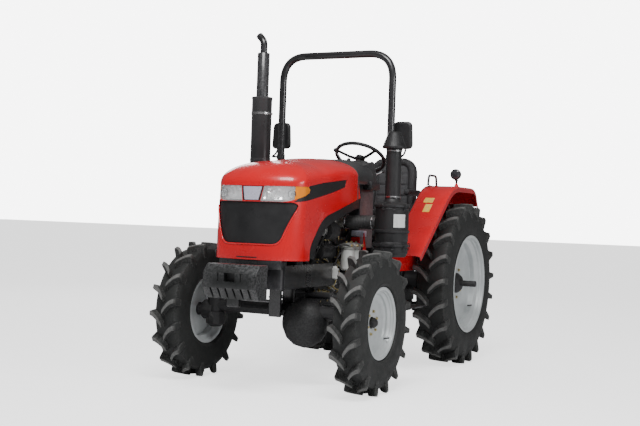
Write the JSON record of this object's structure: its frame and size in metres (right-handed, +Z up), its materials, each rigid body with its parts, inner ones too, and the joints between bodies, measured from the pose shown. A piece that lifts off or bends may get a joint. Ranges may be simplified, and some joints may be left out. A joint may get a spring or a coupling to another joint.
{
  "type": "farm tractor",
  "caption": "Compact farm tractor with an open driver's place, fixed safety hoop, hinged bonnet, steered driven front axle, front ballast and rear three-point linkage.",
  "frame": {"origin": "centre of the bounding box at ground level", "axes": "front of the tractor towards -Y, its left towards +X, +Z up"},
  "size_m": [1.586, 3.58, 2.5774],
  "materials": {
    "red_paint": "gloss",
    "black_paint": "satin",
    "cast_black": "painted casting, satin",
    "black_plastic": "satin",
    "rubber": "matt",
    "tyre": "matt, worn lug tops",
    "rim_silver": "silver paint",
    "steel": "bright",
    "filter_white": "satin",
    "lamp_clear": "clear over a bright reflector",
    "seat_vinyl": "grained vinyl"
  },
  "bodies": {
    "chassis": {"air_cleaner": "black_plastic", "dash_tower": "black_plastic", "engine": "cast_black", "exhaust_stack": "black_paint", "fender_lamp_left": "black_plastic", "fender_lamp_right": "black_plastic", "fender_left": "red_paint", "fender_right": "red_paint", "floor_left": "black_paint", "floor_right": "black_paint", "front_axle": "cast_black", "front_drive_shaft": "cast_black", "front_frame": "black_paint", "front_weights": "cast_black", "fuel_filter": "filter_white", "grab_rail_left": "black_paint", "grab_rail_right": "black_paint", "intake_hose": "rubber", "mirror_left": "black_plastic", "mirror_right": "black_plastic", "radiator": "black_paint", "safety_hoop": "black_paint", "seat_back": "seat_vinyl", "seat_base": "black_paint", "seat_cushion": "seat_vinyl", "steering_cylinder": "black_paint", "transmission": "cast_black"},
    "bonnet": {"bonnet_shell": "red_paint", "grille": "black_plastic", "headlamp_left": "lamp_clear", "headlamp_right": "lamp_clear"},
    "knuckle_left_body": {"knuckle_left": "cast_black"},
    "knuckle_right_body": {"knuckle_right": "cast_black"},
    "front_wheel_left": {"front_tyre_left": "tyre", "front_rim_left": "rim_silver", "front_hub_left": "cast_black"},
    "front_wheel_right": {"front_tyre_right": "tyre", "front_rim_right": "rim_silver", "front_hub_right": "cast_black"},
    "rear_wheel_left": {"rear_tyre_left": "tyre", "rear_rim_left": "rim_silver", "rear_hub_left": "cast_black"},
    "rear_wheel_right": {"rear_tyre_right": "tyre", "rear_rim_right": "rim_silver", "rear_hub_right": "cast_black"},
    "steering_linkage": {"tie_rod": "black_paint"},
    "steering_ram_rod": {"steering_rod": "steel"},
    "hand_wheel": {"steering_wheel": "black_plastic"},
    "lower_link_left_body": {"lower_link_left": "black_paint"},
    "lower_link_right_body": {"lower_link_right": "black_paint"},
    "lift_arms": {"lift_arm_left": "black_paint", "lift_arm_right": "black_paint"},
    "lift_rod_left_body": {"lift_rod_left": "black_paint"},
    "lift_rod_right_body": {"lift_rod_right": "black_paint"},
    "top_link_body": {"top_link": "black_paint"}
  },
  "joints": [
    {"name": "bonnet_hinge", "type": "hinge", "parent": "chassis", "child": "bonnet", "pos_m": [0, -0.58, 1.585], "axis": [-1, 0, 0], "range_deg": [0, 50]},
    {"name": "steer_left", "type": "hinge", "parent": "chassis", "child": "knuckle_left_body", "pos_m": [0.545, -1.06, 0.478], "axis": [0, 0, 1], "range_deg": [-40, 40]},
    {"name": "steer_right", "type": "hinge", "parent": "chassis", "child": "knuckle_right_body", "pos_m": [-0.545, -1.06, 0.478], "axis": [0, 0, 1], "range_deg": [-40, 40]},
    {"name": "front_wheel_left_spin", "type": "hinge", "parent": "knuckle_left_body", "child": "front_wheel_left", "pos_m": [0.69, -1.06, 0.48971], "axis": [1, 0, 0], "continuous": true},
    {"name": "front_wheel_right_spin", "type": "hinge", "parent": "knuckle_right_body", "child": "front_wheel_right", "pos_m": [-0.69, -1.06, 0.48971], "axis": [1, 0, 0], "continuous": true},
    {"name": "rear_wheel_left_spin", "type": "hinge", "parent": "chassis", "child": "rear_wheel_left", "pos_m": [0.608, 0.89, 0.67276], "axis": [1, 0, 0], "continuous": true},
    {"name": "rear_wheel_right_spin", "type": "hinge", "parent": "chassis", "child": "rear_wheel_right", "pos_m": [-0.608, 0.89, 0.67276], "axis": [1, 0, 0], "continuous": true},
    {"name": "tie_rod_swing", "type": "hinge", "parent": "knuckle_left_body", "child": "steering_linkage", "pos_m": [0.545, -0.82, 0.56], "axis": [0, 0, 1], "range_deg": [-40, 40]},
    {"name": "steering_rod_slide", "type": "slide", "parent": "chassis", "child": "steering_ram_rod", "axis": [1, 0, 0], "range_m": [-0.0708, 0.0708]},
    {"name": "hand_wheel_turn", "type": "hinge", "parent": "chassis", "child": "hand_wheel", "pos_m": [0, 0.2, 1.69], "axis": [0, 0.515, 0.8572], "range_deg": [-440, 440]},
    {"name": "lower_link_left_lift", "type": "hinge", "parent": "chassis", "child": "lower_link_left_body", "pos_m": [0.2, 1.01, 0.44], "axis": [1, 0, 0], "range_deg": [-15, 35]},
    {"name": "lower_link_right_lift", "type": "hinge", "parent": "chassis", "child": "lower_link_right_body", "pos_m": [-0.2, 1.01, 0.44], "axis": [1, 0, 0], "range_deg": [-15, 35]},
    {"name": "lift_arms_turn", "type": "hinge", "parent": "chassis", "child": "lift_arms", "pos_m": [0, 1.01, 1.03], "axis": [1, 0, 0], "range_deg": [-15, 35]},
    {"name": "lift_rod_left_swing", "type": "hinge", "parent": "lift_arms", "child": "lift_rod_left_body", "pos_m": [0.2876, 1.33, 1.03], "axis": [1, 0, 0], "range_deg": [-35, 15]},
    {"name": "lift_rod_right_swing", "type": "hinge", "parent": "lift_arms", "child": "lift_rod_right_body", "pos_m": [-0.2876, 1.33, 1.03], "axis": [1, 0, 0], "range_deg": [-35, 15]},
    {"name": "top_link_swing", "type": "hinge", "parent": "chassis", "child": "top_link_body", "pos_m": [0, 1.15, 0.85], "axis": [1, 0, 0], "range_deg": [-30, 45]}
  ],
  "couplings": [
    {"joint": "steer_right", "follows": "steer_left", "ratio": 1},
    {"joint": "tie_rod_swing", "follows": "steer_left", "ratio": -1},
    {"joint": "steering_rod_slide", "follows": "steer_left", "m_per_rad": -0.10127},
    {"joint": "hand_wheel_turn", "follows": "steer_left", "ratio": 11},
    {"joint": "lower_link_right_lift", "follows": "lower_link_left_lift", "ratio": 1},
    {"joint": "lift_arms_turn", "follows": "lower_link_left_lift", "ratio": 1},
    {"joint": "lift_rod_left_swing", "follows": "lower_link_left_lift", "ratio": -1},
    {"joint": "lift_rod_right_swing", "follows": "lower_link_left_lift", "ratio": -1}
  ]
}
